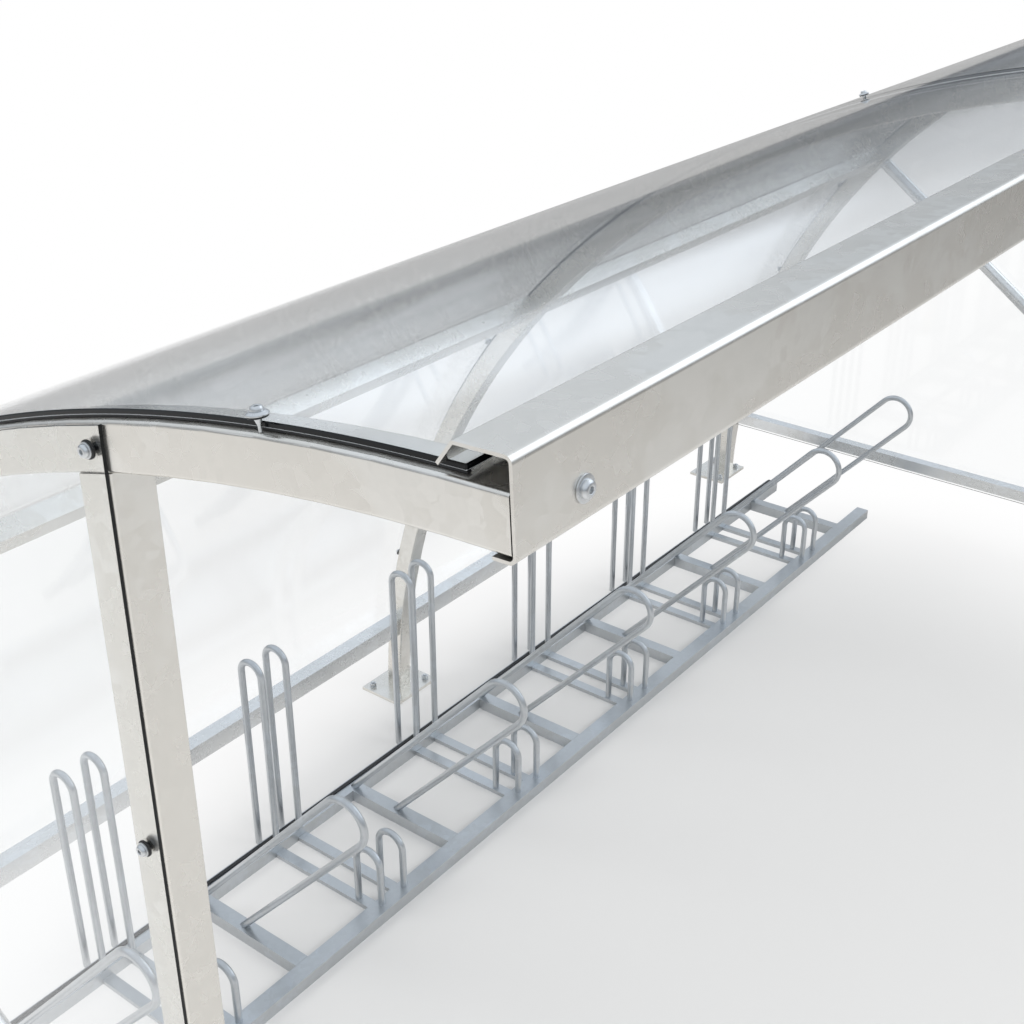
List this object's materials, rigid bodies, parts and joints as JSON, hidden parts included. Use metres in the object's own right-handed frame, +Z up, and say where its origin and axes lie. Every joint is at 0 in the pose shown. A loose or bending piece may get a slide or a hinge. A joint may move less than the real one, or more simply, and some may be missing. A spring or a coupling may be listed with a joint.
{
  "type": "bicycle shelter",
  "caption": "Open-fronted bicycle shelter with quarter-round steel frames, clear curved roof and back, clear sides, a folded eave beam and a wheel rack.",
  "frame": {"origin": "middle of the bounding box on the ground", "axes": "+X along the eave, +Y from the open front to the back, +Z up"},
  "size_m": [4.178, 2.1378, 2.1488],
  "materials": {
    "galvanised_steel": "hot-dip galvanised, pale spangle",
    "clear_sheet": "clear, glossy, edges look dark",
    "bolt_steel": "zinc plated, semi-gloss",
    "rubber": "matt black"
  },
  "bodies": {
    "root": {"rafters": "galvanised_steel", "rear_legs": "galvanised_steel", "splice_plates": "galvanised_steel", "front_posts": "galvanised_steel", "post_base_plates": "galvanised_steel", "leg_base_plates": "galvanised_steel", "eave_beam": "galvanised_steel", "eave_brackets": "galvanised_steel", "eave_bolts": "bolt_steel", "upper_back_rail": "galvanised_steel", "low_back_rail": "galvanised_steel", "side_rails": "galvanised_steel", "side_braces": "galvanised_steel", "roof_sheets": "clear_sheet", "back_sheets": "clear_sheet", "side_sheets": "clear_sheet", "roof_gaskets": "rubber", "back_gaskets": "rubber", "roof_screws": "bolt_steel", "back_screws": "bolt_steel", "side_bolts": "bolt_steel", "side_washers": "rubber", "rack_front_rail": "galvanised_steel", "rack_rear_rail": "galvanised_steel", "rack_strip": "rubber", "rack_cross_bars": "galvanised_steel", "tall_hoops": "galvanised_steel", "low_hoops": "galvanised_steel", "lock_loops": "galvanised_steel"}
  },
  "joints": []
}
